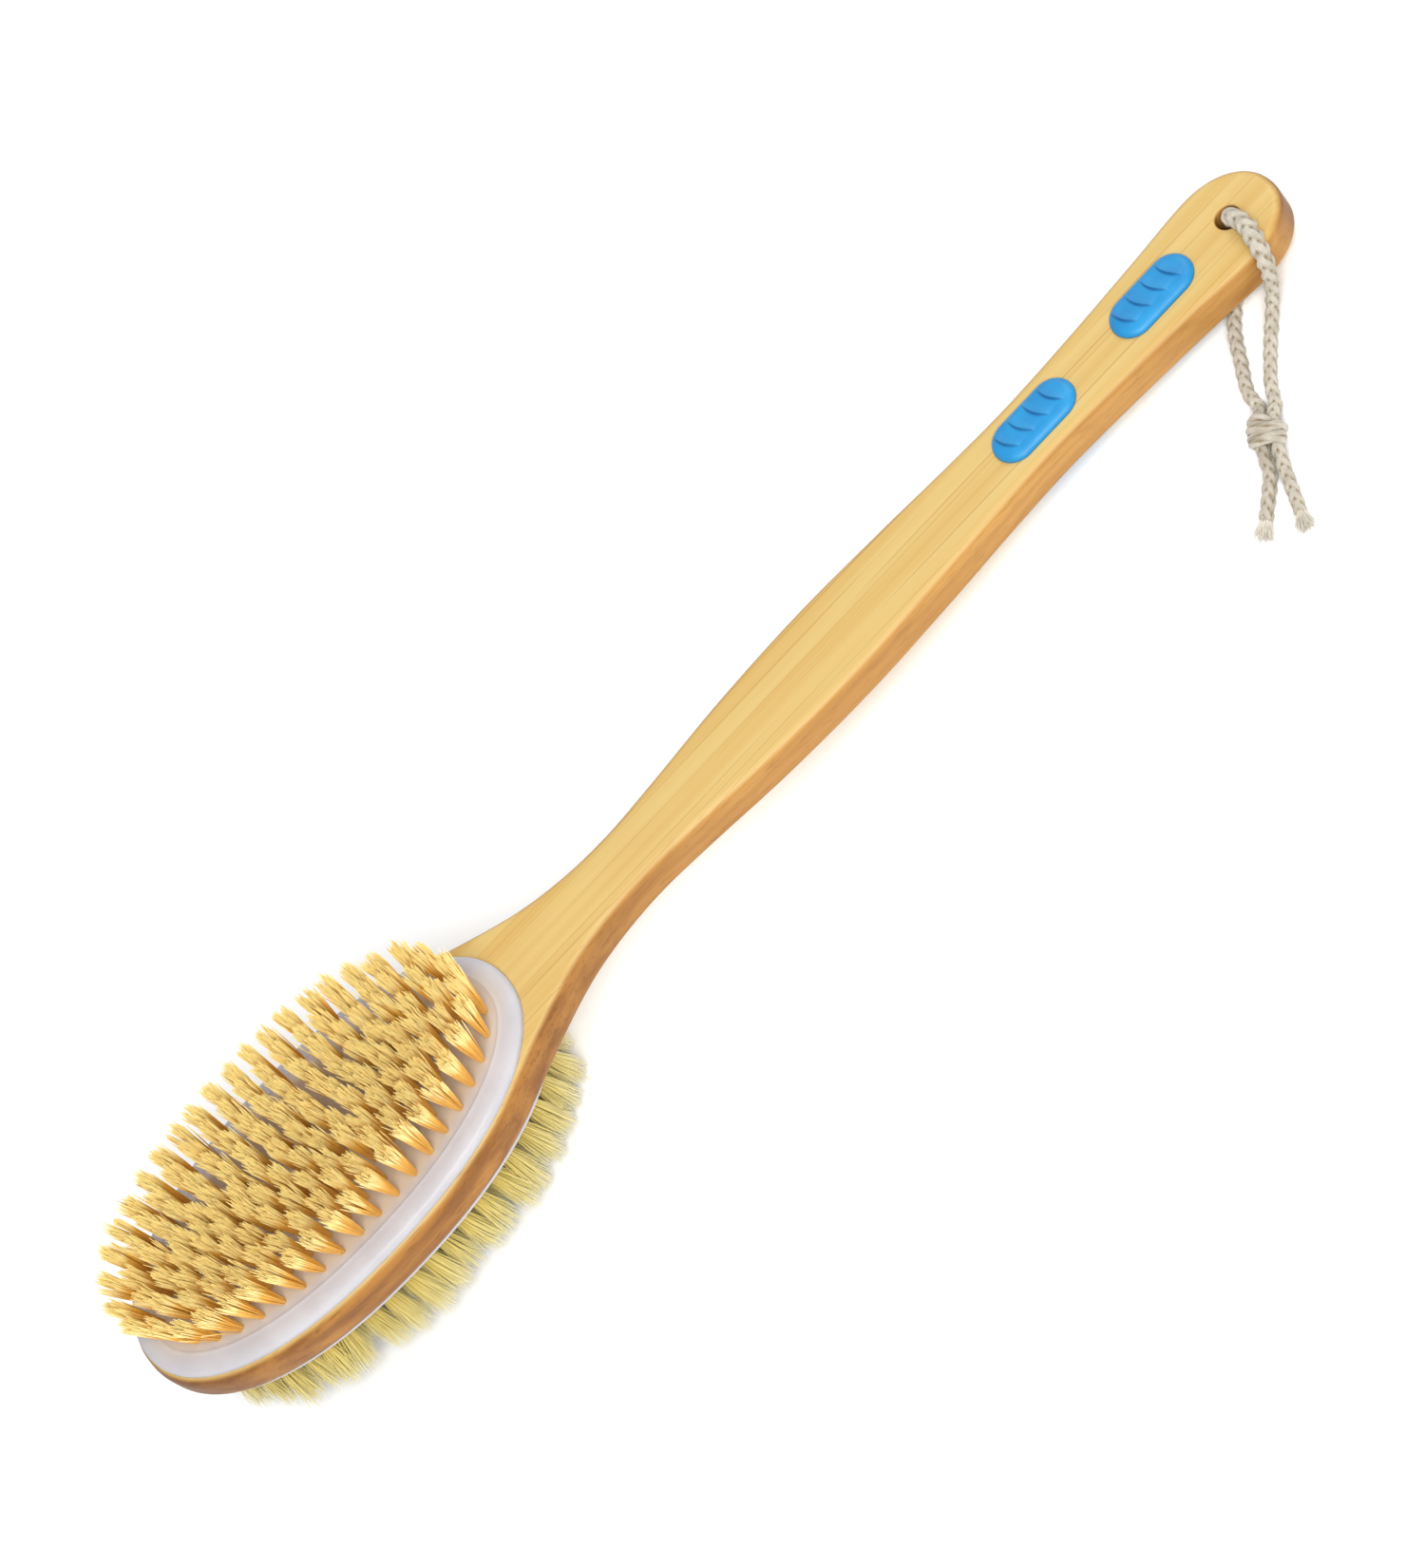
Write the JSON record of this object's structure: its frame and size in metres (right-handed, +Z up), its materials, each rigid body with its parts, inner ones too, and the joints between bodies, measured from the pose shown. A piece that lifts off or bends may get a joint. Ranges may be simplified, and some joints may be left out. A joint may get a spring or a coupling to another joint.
{
  "type": "body dry brush",
  "caption": "Long-handled bamboo body brush with an oval head: stiff bristle tufts on one face, longer soft ones on the other, rubber thumb grips and a knotted cotton hanging rope.",
  "frame": {"origin": "On the table under the middle of the brush's footprint box, measured without the rope. The brush lies as it rests: on its soft bristle tips, and at the tail on the rope that passes under it.", "axes": "+X along the brush from the head to the tail, +Z up out of the stiff side, +Y to the left when looking along +X. The handle slopes down about 5 degrees towards the tail."},
  "size_m": [0.4288, 0.11, 0.0769],
  "materials": {
    "bamboo": "satin lacquered bamboo with fine lengthwise grain",
    "pad_plastic": "gloss, slightly milky",
    "stiff_bristle": "amber stems with pale split tips",
    "soft_bristle": "fine pale yellow bristles",
    "grip_rubber": "soft matte",
    "rope_cotton": "braided natural cotton"
  },
  "bodies": {
    "root": {"bamboo_handle": "bamboo", "stiff_bristle_pad": "pad_plastic", "soft_bristle_pad": "pad_plastic", "stiff_tufts_ring_1": "stiff_bristle", "stiff_tufts_ring_2": "stiff_bristle", "stiff_tufts_ring_3": "stiff_bristle", "stiff_tufts_ring_4": "stiff_bristle", "stiff_tufts_ring_5": "stiff_bristle", "soft_tufts_ring_1": "soft_bristle", "soft_tufts_ring_2": "soft_bristle", "soft_tufts_ring_3": "soft_bristle", "soft_tufts_ring_4": "soft_bristle", "soft_tufts_ring_5": "soft_bristle", "grip_top_front": "grip_rubber", "grip_top_rear": "grip_rubber", "grip_under_front": "grip_rubber", "grip_under_rear": "grip_rubber", "rope_front": "rope_cotton", "rope_back": "rope_cotton", "rope_knot": "rope_cotton"}
  },
  "joints": []
}
